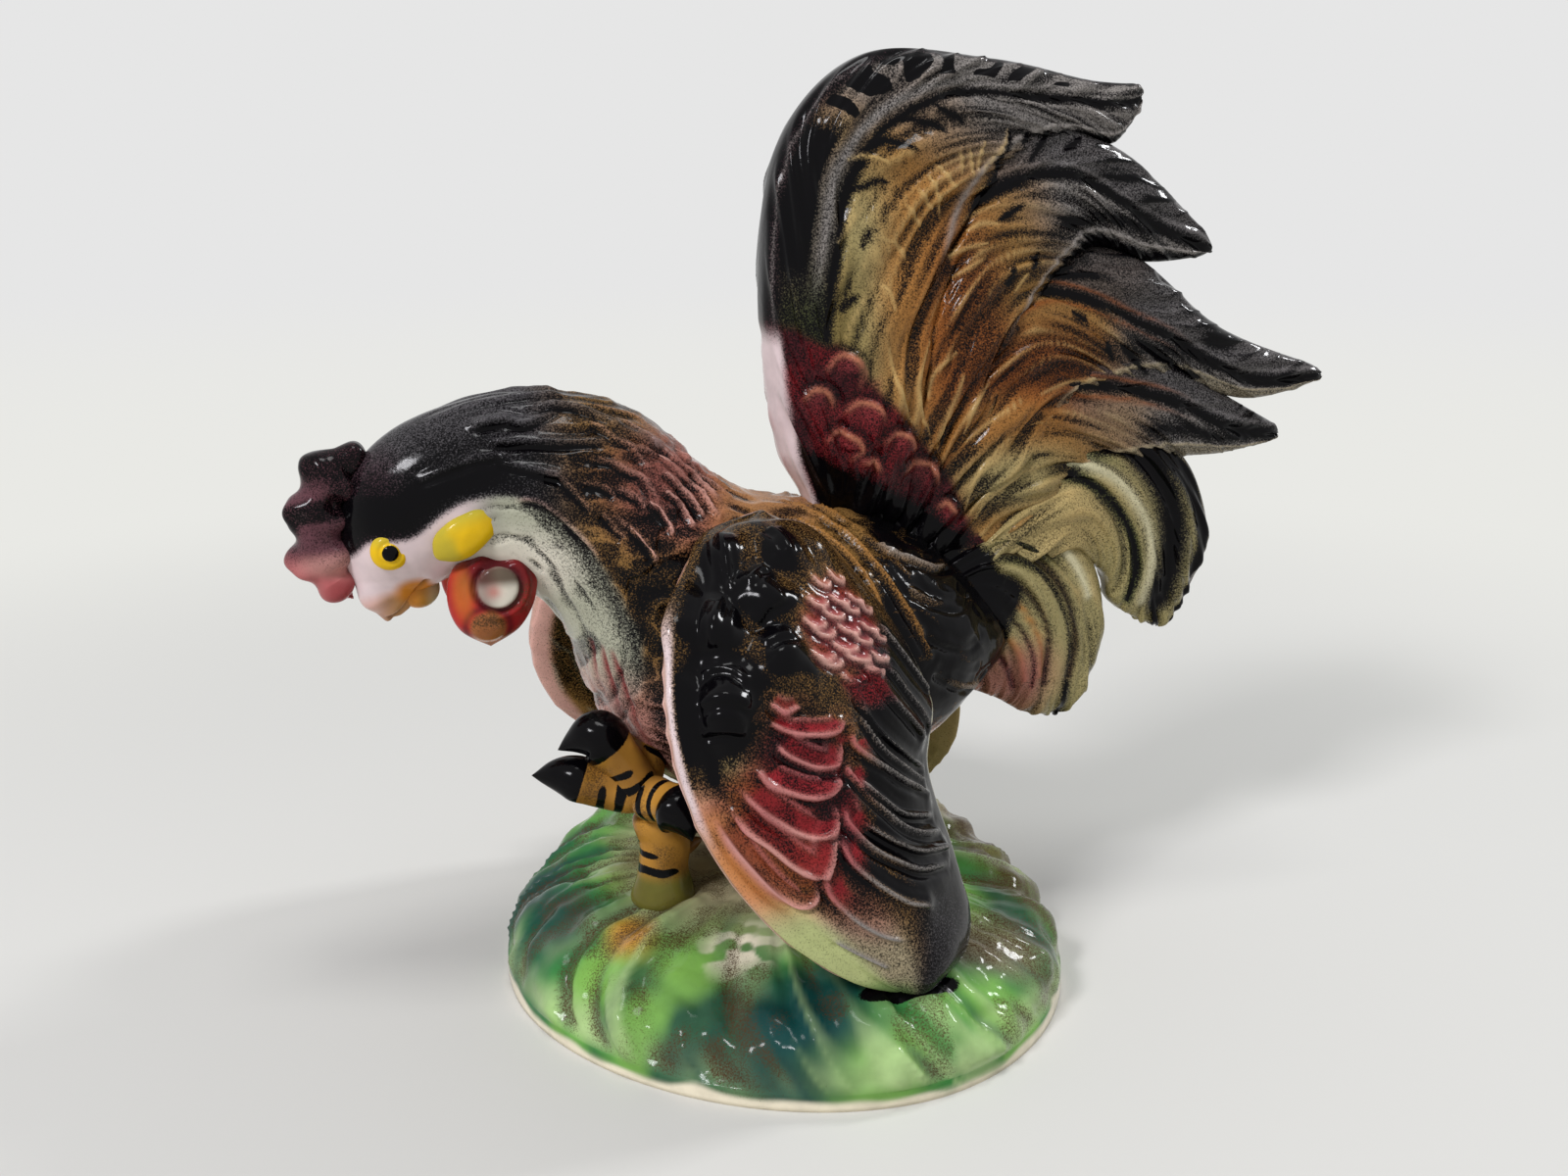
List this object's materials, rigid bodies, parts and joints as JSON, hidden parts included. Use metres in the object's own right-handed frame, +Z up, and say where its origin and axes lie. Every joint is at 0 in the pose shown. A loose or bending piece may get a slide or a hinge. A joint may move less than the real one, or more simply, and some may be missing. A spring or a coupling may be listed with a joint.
{
  "type": "ceramic rooster figurine",
  "caption": "Glazed ceramic rooster with a bowed head, spread wings and a high fanned tail, standing on a hollow grassy mound with a flat foot rim.",
  "frame": {"origin": "middle of the whole figurine's outline seen from above, on the surface that the foot rim stands on", "axes": "+X towards the tail (the bird faces -X), +Y towards the bird's right side, +Z up"},
  "size_m": [0.1976, 0.1164, 0.1651],
  "materials": {
    "mound_glaze": "glossy green, teal and tan glaze over cream clay, unglazed at the foot rim",
    "body_glaze": "glossy black glaze sprayed thin over ridges, with a pinkish white face and throat",
    "comb_glaze": "glossy maroon to pink glaze",
    "wattle_glaze": "glossy red glaze",
    "lobe_glaze": "glossy mustard yellow glaze",
    "wing_glaze": "glossy black, crimson and pale pink glaze",
    "tail_glaze": "glossy black, olive and tan glaze",
    "leg_glaze": "glossy orange yellow glaze with black bands and claws"
  },
  "bodies": {
    "root": {"base_mound": "mound_glaze", "body_shell": "body_glaze", "neck_and_head": "body_glaze", "comb": "comb_glaze", "wattle_left": "wattle_glaze", "wattle_right": "wattle_glaze", "ear_lobe_left": "lobe_glaze", "ear_lobe_right": "lobe_glaze", "wing_left": "wing_glaze", "wing_right": "wing_glaze", "tail_fan": "tail_glaze", "left_leg": "leg_glaze", "left_foot": "leg_glaze", "right_leg": "leg_glaze"}
  },
  "joints": []
}
